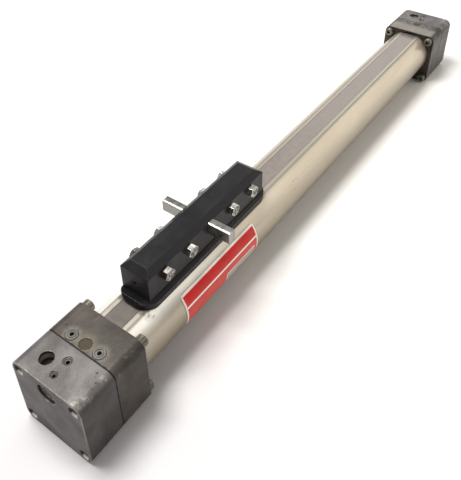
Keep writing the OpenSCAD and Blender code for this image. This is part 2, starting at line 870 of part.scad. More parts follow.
// Low-head socket screw pointing to +Z, its head's underside at Z = 0
module small_screw() {
  difference() {
    union() {
      rod_z(small_head_d / 2, -small_head_h, 0);
      rod_z(small_d / 2 - thread_gap, -0.1, small_len);
    }
    hex_z(2, -small_head_h - 1, -small_head_h / 2);
  }
}

module carriage_screws() {
  seat = axis_h + plate_z + small_head_h + 0.1;
  color("#8f8d89") on_carriage() translate([0, 0, seat]) {
    plate_screws() small_screw();
    skirt_screws() small_screw();
  }
}

module set_screws() {
  out = body_half - 0.5;
  color("#3a3a3c") on_carriage() for (s = [0, 1]) mirror([s, 0, 0]) translate([0, 0, set_screw_h])
    difference() {
      rod_x(thread_r - thread_gap, out - set_screw_len, out);
      translate([out, 0, 0]) rotate([0, 90, 0]) hex_z(thread_r, -thread_r, 1);
    }
}

module front_bolts() {
  color("#b7b4ae") on_carriage() bolt_row()
    translate([0, -body_w / 2, 0]) rotate([90, 0, 0]) hex_bolt(8);
}

module rear_bolts() {
  color("#b7b4ae") on_carriage() bolt_row()
    translate([0, body_w / 2, 0]) rotate([-90, 0, 0]) hex_bolt(20);
}

module cross_bar() {
  color("#a5a29c") on_carriage() translate([0, 0, bar_mid_h])
    along_y(-bar_len / 2, bar_len / 2) round_rect(bar_w, bar_h, bar_r);
}

barrel();
outer_band();
inner_band();
left_cap();
right_cap();
left_flange();
right_flange();
left_gasket();
right_gasket();
left_flange_screws();
right_flange_screws();
left_cap_seal();
right_cap_seal();
left_cushion_tube();
right_cushion_tube();
left_clamp_shoe();
right_clamp_shoe();
left_clamp_screws();
right_clamp_screws();
left_access_plug();
right_access_plug();
left_valve_plug();
right_valve_plug();
left_passage_plug();
right_passage_plug();
left_needle();
right_needle();
piston_yoke();
left_piston_head();
right_piston_head();
left_head_screws();
right_head_screws();
left_piston_seal();
right_piston_seal();
left_wear_ring();
right_wear_ring();
left_cushion_seal();
right_cushion_seal();
carriage_body();
skirt();
carriage_screws();
set_screws();
front_bolts();
rear_bolts();
cross_bar();
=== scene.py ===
import json
import math

import bmesh
import bpy
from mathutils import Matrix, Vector


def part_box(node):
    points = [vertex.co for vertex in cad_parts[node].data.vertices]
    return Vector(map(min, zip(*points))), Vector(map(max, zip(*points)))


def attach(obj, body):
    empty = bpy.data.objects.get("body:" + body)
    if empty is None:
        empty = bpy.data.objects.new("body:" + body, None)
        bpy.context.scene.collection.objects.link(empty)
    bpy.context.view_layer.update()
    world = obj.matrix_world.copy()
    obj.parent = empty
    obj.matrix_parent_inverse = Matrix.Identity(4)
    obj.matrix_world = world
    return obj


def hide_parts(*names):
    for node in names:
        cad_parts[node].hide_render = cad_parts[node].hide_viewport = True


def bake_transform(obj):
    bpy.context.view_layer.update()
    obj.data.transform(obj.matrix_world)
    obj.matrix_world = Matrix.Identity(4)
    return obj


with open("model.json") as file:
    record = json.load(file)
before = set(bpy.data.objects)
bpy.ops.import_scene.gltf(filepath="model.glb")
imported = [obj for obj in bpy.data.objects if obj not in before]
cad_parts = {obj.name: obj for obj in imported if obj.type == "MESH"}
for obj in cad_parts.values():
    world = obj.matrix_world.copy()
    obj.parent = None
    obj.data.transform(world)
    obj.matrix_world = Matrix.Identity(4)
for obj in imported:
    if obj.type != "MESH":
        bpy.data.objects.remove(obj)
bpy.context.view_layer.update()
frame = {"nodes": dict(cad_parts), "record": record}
nodes = frame["nodes"]
mm = 0.001
print("frame loaded:", len(nodes), "nodes")


def midOf(node):
    low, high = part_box(node)
    return (low + high) / 2


def rgb(red, green, blue):
    # screen colour, 0 to 255, to the linear colour that shaders take
    out = []
    for c in (red, green, blue):
        c = c / 255
        out.append(c / 12.92 if c <= 0.04045 else ((c + 0.055) / 1.055) ** 2.4)
    return (*out, 1.0)


# places read from the frame
capLow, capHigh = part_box("left_cap")
gasketLow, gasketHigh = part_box("left_gasket")
flangeLow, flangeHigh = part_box("left_flange")
barrelLow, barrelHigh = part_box("barrel")
skirtLow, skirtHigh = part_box("skirt")
mounts = {m["name"]: m for m in frame["record"]["mounts"]}
airPort = mounts["left_air_port"]
endPattern = mounts["left_end_pattern"]
plugMid = midOf("left_access_plug")
tubeRadius = (barrelHigh.y - barrelLow.y) / 2
axisHeight = barrelLow.z + tubeRadius
carriageX = midOf("carriage_body").x


# camera
camera = {
    "place": (-0.4749, -0.2475, 0.4586),  # metres
    "turn": (54.829, -0.129, -55.128),  # degrees
    "lens": 47.106,
    "sensor": 36,
    "shiftX": -0.0185,
    "shiftY": -0.2468,
    "clip": (0.02, 20),
}


def makeCamera():
    data = bpy.data.cameras.new("camera")
    data.lens = camera["lens"]
    data.sensor_width = camera["sensor"]
    data.shift_x = camera["shiftX"]
    data.shift_y = camera["shiftY"]
    data.clip_start, data.clip_end = camera["clip"]
    cam = bpy.data.objects.new("camera", data)
    cam.location = camera["place"]
    cam.rotation_euler = [math.radians(a) for a in camera["turn"]]
    bpy.context.scene.collection.objects.link(cam)
    bpy.context.scene.camera = cam


makeCamera()
print("camera placed")


# node helpers
def plug(tree, value, target):
    # a socket is linked, anything else is set
    if isinstance(value, bpy.types.NodeSocket):
        tree.links.new(value, target)
    elif value is not None:
        target.default_value = value


def addNode(tree, kind, inputs=None, **settings):
    # nodes are laid out in rows of eight, in the order that they are made
    n = tree.nodes.new(kind)
    row, column = divmod(len(tree.nodes), 8)
    n.location = (220 * column, -300 * row)
    for name, value in settings.items():
        setattr(n, name, value)
    for label, value in (inputs or {}).items():
        plug(tree, value, n.inputs[label])
    return n


def newGroup(name, inputs, outputs):
    # inputs: label and default, whose form gives the kind of socket; outputs: label and kind
    tree = bpy.data.node_groups.new(name, "ShaderNodeTree")
    for label, value in inputs.items():
        kind = {4: "Color", 3: "Vector"}[len(value)] if isinstance(value, tuple) else "Float"
        s = tree.interface.new_socket(label, in_out="INPUT", socket_type="NodeSocket" + kind)
        s.default_value = value
    for label, kind in outputs.items():
        tree.interface.new_socket(label, in_out="OUTPUT", socket_type="NodeSocket" + kind)
    given = addNode(tree, "NodeGroupInput").outputs
    results = addNode(tree, "NodeGroupOutput").inputs
    return tree, given, results


def mathNode(tree, operation, *values, clamp=False):
    n = addNode(tree, "ShaderNodeMath", dict(enumerate(values)), operation=operation, use_clamp=clamp)
    return n.outputs[0]


def vectorNode(tree, operation, *values):
    n = addNode(tree, "ShaderNodeVectorMath", dict(enumerate(values)), operation=operation)
    return n.outputs["Value" if operation in ("DOT_PRODUCT", "LENGTH", "DISTANCE") else "Vector"]


def times(tree, a, b, clamp=False):
    return mathNode(tree, "MULTIPLY", a, b, clamp=clamp)


def plusShare(tree, base, value, share, clamp=False):
    # base plus a share of value
    return mathNode(tree, "MULTIPLY_ADD", value, share, base, clamp=clamp)


def without(tree, mask, hidden):
    # mask where hidden is 0
    return times(tree, mask, mathNode(tree, "SUBTRACT", 1.0, hidden))


def most(tree, a, b):
    return mathNode(tree, "MAXIMUM", a, b)


def axes(tree, vector):
    # the X, Y and Z of a vector
    return addNode(tree, "ShaderNodeSeparateXYZ", {0: vector}).outputs


def joinAxes(tree, x, y, z):
    return addNode(tree, "ShaderNodeCombineXYZ", {"X": x, "Y": y, "Z": z}).outputs[0]


def objectCoords(tree):
    return addNode(tree, "ShaderNodeTexCoord").outputs["Object"]


def trueNormal(tree):
    return addNode(tree, "ShaderNodeNewGeometry").outputs["True Normal"]


def mixColour(tree, factor, a, b):
    return addNode(tree, "ShaderNodeMix", {0: factor, 6: a, 7: b}, data_type="RGBA").outputs[2]


def layered(tree, colour, layers):
    # lays colours over one another, each by its mask
    for mask, tint in layers:
        colour = mixColour(tree, mask, colour, tint)
    return colour


def spread(tree, value, low, high, toLow=0.0, toHigh=1.0):
    # a smooth change from toLow to toHigh while value goes from low to high
    n = addNode(tree, "ShaderNodeMapRange", {
        "Value": value, "From Min": low, "From Max": high, "To Min": toLow, "To Max": toHigh,
    }, clamp=True, interpolation_type="SMOOTHSTEP")
    return n.outputs["Result"]


def between(tree, value, low, lowFull, highFull, high):
    # 1 from lowFull to highFull, fading to 0 at low and at high
    return times(tree, spread(tree, value, low, lowFull), spread(tree, value, high, highFull))


def fade(tree, value, limits, above=0.0):
    # a mask that grows from the first limit to the second, in mm, up to the third
    start, full, *strength = limits
    return spread(tree, value, above + start * mm, above + full * mm, toHigh=strength[0] if strength else 1.0)


def facing(tree, part, strength):
    # strong where this part of the normal points straight in or out
    return spread(tree, mathNode(tree, "ABSOLUTE", part), 0.6, 0.95, toHigh=strength)


def noise(tree, vector, scale, detail=3.0, rough=0.5, distortion=0.0):
    return addNode(tree, "ShaderNodeTexNoise", {
        "Vector": vector, "Scale": scale, "Detail": detail, "Roughness": rough, "Distortion": distortion,
    }).outputs[0]


def stretched(tree, vector, scale):
    return addNode(tree, "ShaderNodeMapping", {"Vector": vector, "Scale": scale}).outputs["Vector"]


def bumpNode(tree, height, distance, strength, normal=None):
    return addNode(tree, "ShaderNodeBump", {
        "Strength": strength, "Distance": distance, "Height": height, "Normal": normal,
    }).outputs[0]


def spotMask(tree, coords, centre, radius, soft=0.35):
    # 1 inside a ball round centre, fading to 0 at its rim
    return spread(tree, vectorNode(tree, "DISTANCE", coords, centre), radius, radius * (1 - soft))


def anySpot(tree, coords, balls, soft=0.35):
    # 1 inside any of the balls, each a centre and a radius
    mask = None
    for centre, radius in balls:
        spot = spotMask(tree, coords, centre, radius, soft)
        mask = spot if mask is None else most(tree, mask, spot)
    return mask


# shared effects
def makeEdgeWear():
    # bright rubbed edges: where the rounded normal leaves the true one, broken up by noise
    tree, given, results = newGroup("edge wear", {"Radius": 0.0008, "Breakup": 260.0, "Amount": 1.0},
                                    {"Mask": "Float", "Round Normal": "Vector"})
    rounded = addNode(tree, "ShaderNodeBevel", {"Radius": given["Radius"]}, samples=6).outputs[0]
    edge = spread(tree, vectorNode(tree, "DOT_PRODUCT", rounded, trueNormal(tree)), 0.995, 0.86)
    broken = spread(tree, noise(tree, objectCoords(tree), given["Breakup"], detail=4.0), 0.36, 0.6)
    plug(tree, times(tree, times(tree, edge, broken), given["Amount"], clamp=True), results["Mask"])
    plug(tree, rounded, results["Round Normal"])
    return tree


def makeCastSkin():
    # mottled die-cast skin: broad stains, fine grain and small dark pits
    tree, given, results = newGroup(
        "cast skin",
        {"Light": (0.3, 0.3, 0.3, 1), "Dark": (0.1, 0.1, 0.1, 1), "Stain Scale": 70.0, "Grain Scale": 900.0,
         "Pits": 1.0},
        {"Color": "Color", "Value": "Float", "Height": "Float"},
    )
    coords = objectCoords(tree)
    stain = noise(tree, coords, given["Stain Scale"], detail=6.0, rough=0.62, distortion=0.4)
    grain = noise(tree, coords, given["Grain Scale"], detail=3.0)
    cells = addNode(tree, "ShaderNodeTexVoronoi", {
        "Vector": coords, "Scale": given["Grain Scale"], "Randomness": 1.0,
    }, feature="F1").outputs["Distance"]
    broad = spread(tree, stain, 0.32, 0.68)
    fine = spread(tree, grain, 0.25, 0.75)
    holes = times(tree, spread(tree, cells, 0.16, 0.05), spread(tree, stain, 0.47, 0.56))
    holes = times(tree, holes, given["Pits"], clamp=True)
    tone = plusShare(tree, times(tree, broad, 0.7), fine, 0.3, clamp=True)
    colour = mixColour(tree, tone, given["Dark"], given["Light"])
    colour = mixColour(tree, times(tree, holes, 0.65), colour, rgb(30, 26, 24))
    height = mathNode(tree, "SUBTRACT", plusShare(tree, times(tree, broad, 0.6), fine, 0.4), holes)
    plug(tree, colour, results["Color"])
    plug(tree, tone, results["Value"])
    plug(tree, height, results["Height"])
    return tree


def makeDrawnLines():
    # fine lines along X, as left by an extrusion die or a rolling mill, with soft blotches between
    tree, given, results = newGroup("drawn lines", {"Line Scale": 900.0, "Blotch Scale": 28.0},
                                    {"Lines": "Float", "Blotches": "Float"})
    coords = objectCoords(tree)
    lines = noise(tree, stretched(tree, coords, (0.012, 1, 1)), given["Line Scale"], detail=4.0)
    blotches = noise(tree, stretched(tree, coords, (0.35, 1, 1)), given["Blotch Scale"], detail=5.0)
    plug(tree, spread(tree, lines, 0.3, 0.7), results["Lines"])
    plug(tree, spread(tree, blotches, 0.3, 0.7), results["Blotches"])
    return tree


def makeScratches():
    # short straight scratches all one way: a noise pulled long, kept only at its peaks
    tree, given, results = newGroup("scratches", {"Scale": 900.0, "Amount": 0.5, "Turn": 0.6, "Length": 0.03},
                                    {"Mask": "Float"})
    coords = objectCoords(tree)
    angles = joinAxes(tree, given["Turn"], given["Turn"], given["Turn"])
    turned = addNode(tree, "ShaderNodeVectorRotate", {"Vector": coords, "Rotation": angles},
                     rotation_type="EULER_XYZ").outputs["Vector"]
    pulled = vectorNode(tree, "MULTIPLY", turned, joinAxes(tree, given["Length"], 1, 1))
    thin = spread(tree, noise(tree, pulled, given["Scale"], detail=2.0), 0.66, 0.74)
    seen = spread(tree, noise(tree, coords, 60.0, detail=2.0), 0.48, 0.62)
    plug(tree, times(tree, times(tree, thin, seen), given["Amount"], clamp=True), results["Mask"])
    return tree


def makeGrimeAndShade():
    # dirt and painted shade: darker in corners and round what is let into a face, where ambient occlusion
    # finds them
    tree, given, results = newGroup("grimeAndShade", {"Reach": 0.004, "Amount": 0.8}, {"Mask": "Float"})
    shut = addNode(tree, "ShaderNodeAmbientOcclusion", {"Distance": given["Reach"]}, samples=6).outputs["AO"]
    uneven = spread(tree, noise(tree, objectCoords(tree), 300.0, detail=3.0), 0.2, 0.6, toLow=0.5)
    mask = times(tree, spread(tree, shut, 0.85, 0.35), uneven)
    plug(tree, times(tree, mask, given["Amount"], clamp=True), results["Mask"])
    return tree


def makeThread():
    # thread turns on a hole's wall: 1 on the crests, 0 away from the wall
    tree, given, results = newGroup(
        "thread",
        {"Place": (0, 0, 0), "Centre": (0, 0, 0), "Across": (1, 1, 0), "Radius": 0.005, "Mouth": 0.006,
         "Pitch": 0.00134},
        {"Turns": "Float", "Wall": "Float", "Bore": "Float"},
    )
    away = vectorNode(tree, "SUBTRACT", given["Place"], given["Centre"])
    flat = vectorNode(tree, "MULTIPLY", away, given["Across"])
    radial = vectorNode(tree, "LENGTH", flat)
    off = mathNode(tree, "ABSOLUTE", mathNode(tree, "SUBTRACT", radial, given["Radius"]))
    wall = spread(tree, off, 0.4 * mm, 0.2 * mm)
    along = vectorNode(tree, "DOT_PRODUCT", vectorNode(tree, "SUBTRACT", away, flat), (1, 1, 1))
    halfPitch = times(tree, given["Pitch"], 0.5)
    turn = mathNode(tree, "PINGPONG", along, halfPitch)
    turn = mathNode(tree, "DIVIDE", turn, halfPitch, clamp=True)
    within = mathNode(tree, "SUBTRACT", given["Mouth"], radial)
    plug(tree, times(tree, turn, wall), results["Turns"])
    plug(tree, wall, results["Wall"])
    plug(tree, times(tree, within, 5000.0, clamp=True), results["Bore"])
    return tree


groups = {
    "edgeWear": makeEdgeWear(),
    "castSkin": makeCastSkin(),
    "drawnLines": makeDrawnLines(),
    "scratches": makeScratches(),
    "grimeAndShade": makeGrimeAndShade(),
    "thread": makeThread(),
}
print("shared shader groups built")


def useGroup(tree, key, **values):
    # places a shared group with its own values and gives its outputs
    n = addNode(tree, "ShaderNodeGroup", node_tree=groups[key])
    for label, value in values.items():
        plug(tree, value, n.inputs[label.replace("_", " ")])
    return n.outputs


def newMaterial(name, metallic, roughness, **extra):
    mat = bpy.data.materials.new(name)
    mat.use_nodes = True
    tree = mat.node_tree
    tree.nodes.clear()
    skin = addNode(tree, "ShaderNodeBsdfPrincipled", {"Metallic": metallic, "Roughness": roughness})
    for label, value in extra.items():
        plug(tree, value, skin.inputs[label.replace("_", " ")])
    addNode(tree, "ShaderNodeOutputMaterial", {"Surface": skin.outputs[0]})
    return mat, tree, skin.inputs


# castings; lengths here and below are in mm unless a note says otherwise
casting = {
    "capLight": rgb(114, 110, 109),
    "capDark": rgb(69, 64, 61),
    "flangeLight": rgb(82, 75, 68),
    "flangeDark": rgb(49, 43, 36),
    "worn": rgb(205, 198, 190),
    "grimeShadeColour": rgb(34, 29, 25),
    "oil": rgb(98, 90, 70),
    "chalk": rgb(120, 115, 106),
    "cut": rgb(240, 235, 228),  # painted highlight on machined metal in the holes
    # painted shade inside the corner holes and, lighter, on the port's wall
    "cutShade": rgb(46, 42, 38),
    "portWall": rgb(112, 106, 98),
    "rubbed": rgb(176, 170, 162),
    # paler patches on the front edge: distance from the outer face, offset, depth below the top, radius
    "rubs": [(2.0, -28.5, 1.0, 8.0), (9.0, -31.0, 2.5, 6.5), (26.5, -30.0, 2.0, 4.5),
             (37.0, -33.0, 6.0, 3.0), (54.0, -31.5, 3.0, 3.5), (48.0, -30.0, 2.0, 2.5)],
    # pits in the top: distance from the outer face, offset from the middle, radius
    "pits": [(27.3, -23.4, 1.0), (21.5, -28.3, 0.8), (16.9, -29.3, 0.9), (42.8, 24.3, 1.1),
             (24.6, -24.9, 0.5)],
    "metallic": 0.3,
    "roughness": 0.5,
    "stainScale": 34.0,
    "grainScale": 1100.0,
    "edgeRadius": 0.9,
    "screwHalo": 9.5,
    "plugHalo": 10.5,
    "shadeHalo": 30.0,  # painted shade on the flange's inner edge, towards the front
    "shadeOffset": -24.0,
    "wipe": 0.38,  # how far the far flange's top is wiped clean
    "wipeStart": 1.0,  # behind the access plug
    "wipeSoft": 11.0,
    # how much painted shade darkens the outer faces
    "faceShade": 0.34,
    "seamFade": (0.7, 0.2),  # dirt beside the gasket: where it starts and where it is full
    "brink": (0.08, 0.3, 0.5, 0.9),  # depths between which the outer face's edge is worn bright, with a painted highlight stronger towards the top
    "portMouth": 6.0,
    "portPitch": 1.34,
    "portLight": (2.6, 3.4, 6.6, 8.0),  # depths between which the port's wall gets a painted highlight
    "screwMouth": 5.4,
    "screwPitch": 1.0,
    "screwDepths": (0.1, 0.35, 20.0, 25.0),  # between which the corner holes are cut metal
    "lip": (2.0, 1.2),  # depths between which their lower rims get a painted highlight
}


def bothEnds(tree, coords):
    # coordinates folded onto the left end, so that one pattern serves both ends
    parts = axes(tree, coords)
    return joinAxes(tree, times(tree, mathNode(tree, "ABSOLUTE", parts["X"]), -1.0), parts["Y"], parts["Z"])


def foldCorners(tree, place):
    # folds the four corner holes onto the middle of their pattern
    spacing = endPattern["dims"]["spacing_x_mm"] / 2 * mm
    middle = endPattern["pos_m"][2]
    parts = axes(tree, place)
    across = mathNode(tree, "SUBTRACT", mathNode(tree, "ABSOLUTE", parts["Y"]), spacing)
    up = mathNode(tree, "ABSOLUTE", mathNode(tree, "SUBTRACT", parts["Z"], middle))
    return joinAxes(tree, parts["X"], across, mathNode(tree, "ADD", up, middle - spacing))


def castHoles(tree, local, normal, behindFace, belowTop):
    # masks of the port and the corner holes: cut metal, its colour with painted shade and painted highlights,
    # thread crests and walls
    c = casting
    port = useGroup(tree, "thread", Place=local, Centre=tuple(airPort["pos_m"]), Across=(1, 1, 0),
                    Radius=airPort["dims"]["r_mm"] * mm, Mouth=c["portMouth"] * mm, Pitch=c["portPitch"] * mm)
    corner = useGroup(tree, "thread", Place=foldCorners(tree, local), Centre=tuple(endPattern["pos_m"]),
                      Across=(0, 1, 1), Radius=endPattern["dims"]["hole_r_mm"] * mm,
                      Mouth=c["screwMouth"] * mm, Pitch=c["screwPitch"] * mm)
    sunk = times(tree, port["Bore"], spread(tree, belowTop, 0.1 * mm, 0.4 * mm))
    deep = between(tree, behindFace, *[depth * mm for depth in c["screwDepths"]])
    drilled = times(tree, corner["Bore"], deep)
    # painted highlight on the upward rims and on a band down the port's wall, painted shade elsewhere inside
    lip = times(tree, spread(tree, normal["Z"], 0.45, 0.7), fade(tree, behindFace, c["lip"]))
    ring = times(tree, sunk, between(tree, belowTop, *[depth * mm for depth in c["portLight"]]))
    shade = mixColour(tree, sunk, c["cutShade"], c["portWall"])
    return {
        "cut": most(tree, sunk, drilled),
        "colour": mixColour(tree, most(tree, lip, ring), shade, c["cut"]),
        "turns": most(tree, port["Turns"], corner["Turns"]),
        "wall": most(tree, port["Wall"], corner["Wall"]),
    }


def castSpots(tree, local, coords, rubbing):
    # the paler patches, broken up, and the pits
    rubs = anySpot(tree, local, [((capLow.x + x0 * mm, y0 * mm, capHigh.z - z0 * mm), r * mm)
                                 for x0, y0, z0, r in casting["rubs"]], soft=0.8)
    pits = anySpot(tree, coords, [((capLow.x + x0 * mm, y0 * mm, capHigh.z), r * mm)
                                  for x0, y0, r in casting["pits"]])
    patchy = spread(tree, noise(tree, coords, 300.0, detail=6.0, rough=0.75), 0.42, 0.66, toHigh=rubbing)
    return times(tree, rubs, patchy), pits


def wipedTop(tree, coords, belowTop):
    # the far flange's top is wiped clean from its plug to its inner edge
    c = casting
    end = -plugMid.x - c["wipeStart"] * mm
    wiped = between(tree, axes(tree, coords)["X"], -flangeHigh.x - 2 * mm, -flangeHigh.x + 2 * mm,
                    end - c["wipeSoft"] * mm, end)
    return times(tree, wiped, spread(tree, belowTop, 1.0 * mm, 0.2 * mm, toHigh=c["wipe"]))


def castingMaterial(name, light, dark, haloes, rubbing, sideShade):
    c = casting
    mat, tree, skin = newMaterial(name, metallic=c["metallic"], roughness=c["roughness"])
    coords = objectCoords(tree)
    local = bothEnds(tree, coords)
    parts, normal = axes(tree, local), axes(tree, trueNormal(tree))
    behindFace = mathNode(tree, "SUBTRACT", parts["X"], capLow.x)
    belowTop = mathNode(tree, "SUBTRACT", capHigh.z, parts["Z"])
    cast = useGroup(tree, "castSkin", Light=light, Dark=dark, Stain_Scale=c["stainScale"],
                    Grain_Scale=c["grainScale"])
    wear = useGroup(tree, "edgeWear", Radius=c["edgeRadius"] * mm, Breakup=260.0, Amount=0.9)
    grimeShade = useGroup(tree, "grimeAndShade", Reach=3 * mm, Amount=0.85)
    marks = useGroup(tree, "scratches", Scale=700.0, Amount=0.16, Turn=0.04, Length=0.08)
    wipes = useGroup(tree, "scratches", Scale=160.0, Amount=0.25, Turn=1.9, Length=0.12)
    frayed = spread(tree, noise(tree, coords, 420.0, detail=5.0, rough=0.7), 0.3, 0.7, toLow=0.35)
    rubs, pits = castSpots(tree, local, coords, rubbing)
    brink = between(tree, behindFace, *[depth * mm for depth in c["brink"]])
    # painted highlight: the worn edge is brighter towards the top
    brink = times(tree, brink, spread(tree, parts["Z"], 20 * mm, 64 * mm, toLow=0.15, toHigh=0.75))
    edges = most(tree, wear["Mask"], times(tree, brink, frayed))
    holes = castHoles(tree, local, normal, behindFace, belowTop)
    # painted shade: the sides and the outer faces are darker by the way they face
    shadedSides = most(tree, facing(tree, normal["Y"], sideShade), facing(tree, normal["X"], c["faceShade"]))
    far, full = [reach * mm for reach in c["seamFade"]]
    seam = between(tree, parts["X"], gasketLow.x - far, gasketLow.x - full,
                   gasketHigh.x + full, gasketHigh.x + far)
    # painted shade in the thread grooves
    grooveShade = mathNode(tree, "SUBTRACT", holes["wall"], holes["turns"])

    layers = [(wipes["Mask"], dark),
              (times(tree, marks["Mask"], spread(tree, behindFace, 0.5 * mm, 2 * mm)), c["worn"])]
    for centre, radius, tint, strength in haloes:
        spot = times(tree, spotMask(tree, local, centre, radius * mm, soft=0.45), frayed)
        layers.append((times(tree, spot, strength), tint))
    layers += [
        (rubs, c["rubbed"]),
        (wipedTop(tree, coords, belowTop), c["rubbed"]),
        (edges, c["worn"]),
        (holes["cut"], holes["colour"]),
        (without(tree, shadedSides, holes["cut"]), c["grimeShadeColour"]),
        # grime and painted shade in corners, less inside the holes
        (times(tree, grimeShade["Mask"], plusShare(tree, 1.0, holes["cut"], -0.8)), c["grimeShadeColour"]),
        (times(tree, seam, 0.7), c["grimeShadeColour"]),
        (times(tree, pits, 0.8), c["grimeShadeColour"]),
        (times(tree, grooveShade, 0.6, clamp=True), c["grimeShadeColour"]),
    ]
    plug(tree, layered(tree, cast["Color"], layers), skin["Base Color"])

    bright = most(tree, edges, holes["cut"])
    rough = plusShare(tree, c["roughness"] + 0.06, cast["Value"], -0.12)
    plug(tree, plusShare(tree, rough, bright, -0.16, clamp=True), skin["Roughness"])
    plug(tree, plusShare(tree, c["metallic"], bright, 0.45, clamp=True), skin["Metallic"])
    relief = mathNode(tree, "SUBTRACT", cast["Height"], times(tree, pits, 2.0))
    relief = plusShare(tree, relief, holes["turns"], 1.5)
    plug(tree, bumpNode(tree, relief, 0.3 * mm, 0.3, wear["Round Normal"]), skin["Normal"])
    return mat


# barrel
barrelLook = {
    "light": rgb(204, 195, 179),
    "dark": rgb(184, 173, 155),
    "low": rgb(134, 122, 101),  # painted shade on the lower flank
    "nearHighlight": rgb(240, 237, 230),  # painted highlight on the upper skin towards the near end
    "landShade": rgb(150, 143, 132),  # painted shade on the flat beside the band and on the back of the tube
    "stain": rgb(112, 98, 82),
    "noseReflectionColour": rgb(40, 44, 36),
    "scratch": rgb(240, 235, 226),
    "grimeShadeColour": rgb(60, 52, 44),
    "metallic": 0.5,
    "roughness": 0.3,
    # small dark marks: distance from the outer face along the tube, offset, radius
    "marks": [(292.0, -22.3, 0.9), (297.0, -22.6, 0.8), (289.2, -26.5, 0.7), (299.5, -24.0, 0.5)],
    # brown smears beside the skirt, same measures
    "smears": [(86.5, -17.1, 5.0), (89.0, -18.5, 4.0), (86.0, -12.9, 3.5), (75.7, 11.6, 4.0)],
    # painted dark reflection and shade of the skirt's nose on the tube, same measures
    "noseReflection": [(87.5, 11.5, 4.6), (85.5, -11.5, 4.4), (90.0, -13.0, 3.6)],
    # how the skin changes: where it starts, where it is full, how strong; heights are from the axis
    "lowShadeFade": (17, -2, 0.9),
    "landShadeFade": (-1.6, -0.6, 0.85),  # above the tube's flat top
    "backShadeFade": (8, 14, 0.4),
    "nearLowShadeFade": (-140, -250, 0.12),
    "nearLowShadeHeight": (26, 14),
    "nearHighlightFade": (-120, -240, 0.75),
    "nearHighlightHeight": (15, 21),
}


def tubePoint(x0, y0):
    # a point on the tube's upper skin
    rise = min(tubeRadius ** 2 - (y0 * mm) ** 2, (barrelHigh.z - axisHeight) ** 2)
    return capLow.x + x0 * mm, y0 * mm, axisHeight + math.sqrt(rise)


def tubeSpots(tree, coords, spots, soft):
    return anySpot(tree, coords, [(tubePoint(x0, y0), r * mm) for x0, y0, r in spots], soft)


def barrelMaterial():
    c = barrelLook
    mat, tree, skin = newMaterial("satin barrel", metallic=c["metallic"], roughness=c["roughness"])
    coords = objectCoords(tree)
    parts = axes(tree, coords)
    drawn = useGroup(tree, "drawnLines", Line_Scale=1100.0, Blotch_Scale=22.0)
    wear = useGroup(tree, "edgeWear", Radius=0.6 * mm, Breakup=120.0, Amount=0.7)
    marks = useGroup(tree, "scratches", Scale=900.0, Amount=0.2, Turn=0.05, Length=0.03)
    grimeShade = useGroup(tree, "grimeAndShade", Reach=5 * mm, Amount=0.7)
    tone = plusShare(tree, times(tree, drawn["Blotches"], 0.7), drawn["Lines"], 0.3)
    # painted shade on the flat beside the band, which is also rougher
    landShade = fade(tree, parts["Z"], c["landShadeFade"], above=barrelHigh.z)
    # painted shade: the lower skin towards the near end is darker
    nearLowShade = times(tree, fade(tree, parts["X"], c["nearLowShadeFade"]),
                    fade(tree, parts["Z"], c["nearLowShadeHeight"], above=axisHeight))
    # painted highlight on the upper skin towards the near end
    nearHighlight = times(tree, fade(tree, parts["X"], c["nearHighlightFade"]),
                  fade(tree, parts["Z"], c["nearHighlightHeight"], above=axisHeight))
    torn = spread(tree, noise(tree, coords, 380.0, detail=6.0, rough=0.75), 0.44, 0.62, toHigh=0.75)
    stains = most(tree, times(tree, tubeSpots(tree, coords, c["marks"], soft=0.6), 0.85),
                  times(tree, tubeSpots(tree, coords, c["smears"], soft=0.9), torn))
    plug(tree, layered(tree, mixColour(tree, tone, c["dark"], c["light"]), [
        # painted shade: the lower flank is darker
        (fade(tree, parts["Z"], c["lowShadeFade"], above=axisHeight), c["low"]),
        (landShade, c["landShade"]),
        # painted shade on the back of the tube
        (fade(tree, parts["Y"], c["backShadeFade"]), c["landShade"]),
        (nearLowShade, c["low"]),
        (without(tree, nearHighlight, landShade), c["nearHighlight"]),
        (stains, c["stain"]),
        # painted dark reflection and shade of the skirt's nose
        (times(tree, tubeSpots(tree, coords, c["noseReflection"], soft=0.7), 0.6), c["noseReflectionColour"]),
        (marks["Mask"], c["scratch"]),
        # grime and painted shade in corners
        (grimeShade["Mask"], c["grimeShadeColour"]),
    ]), skin["Base Color"])
    rough = plusShare(tree, c["roughness"] - 0.01, drawn["Blotches"], 0.03)
    rough = plusShare(tree, rough, landShade, 0.16)
    plug(tree, plusShare(tree, rough, stains, 0.3, clamp=True), skin["Roughness"])
    relief = plusShare(tree, drawn["Lines"], marks["Mask"], -0.3)
    plug(tree, bumpNode(tree, relief, 0.02 * mm, 0.15, wear["Round Normal"]), skin["Normal"])
    return mat


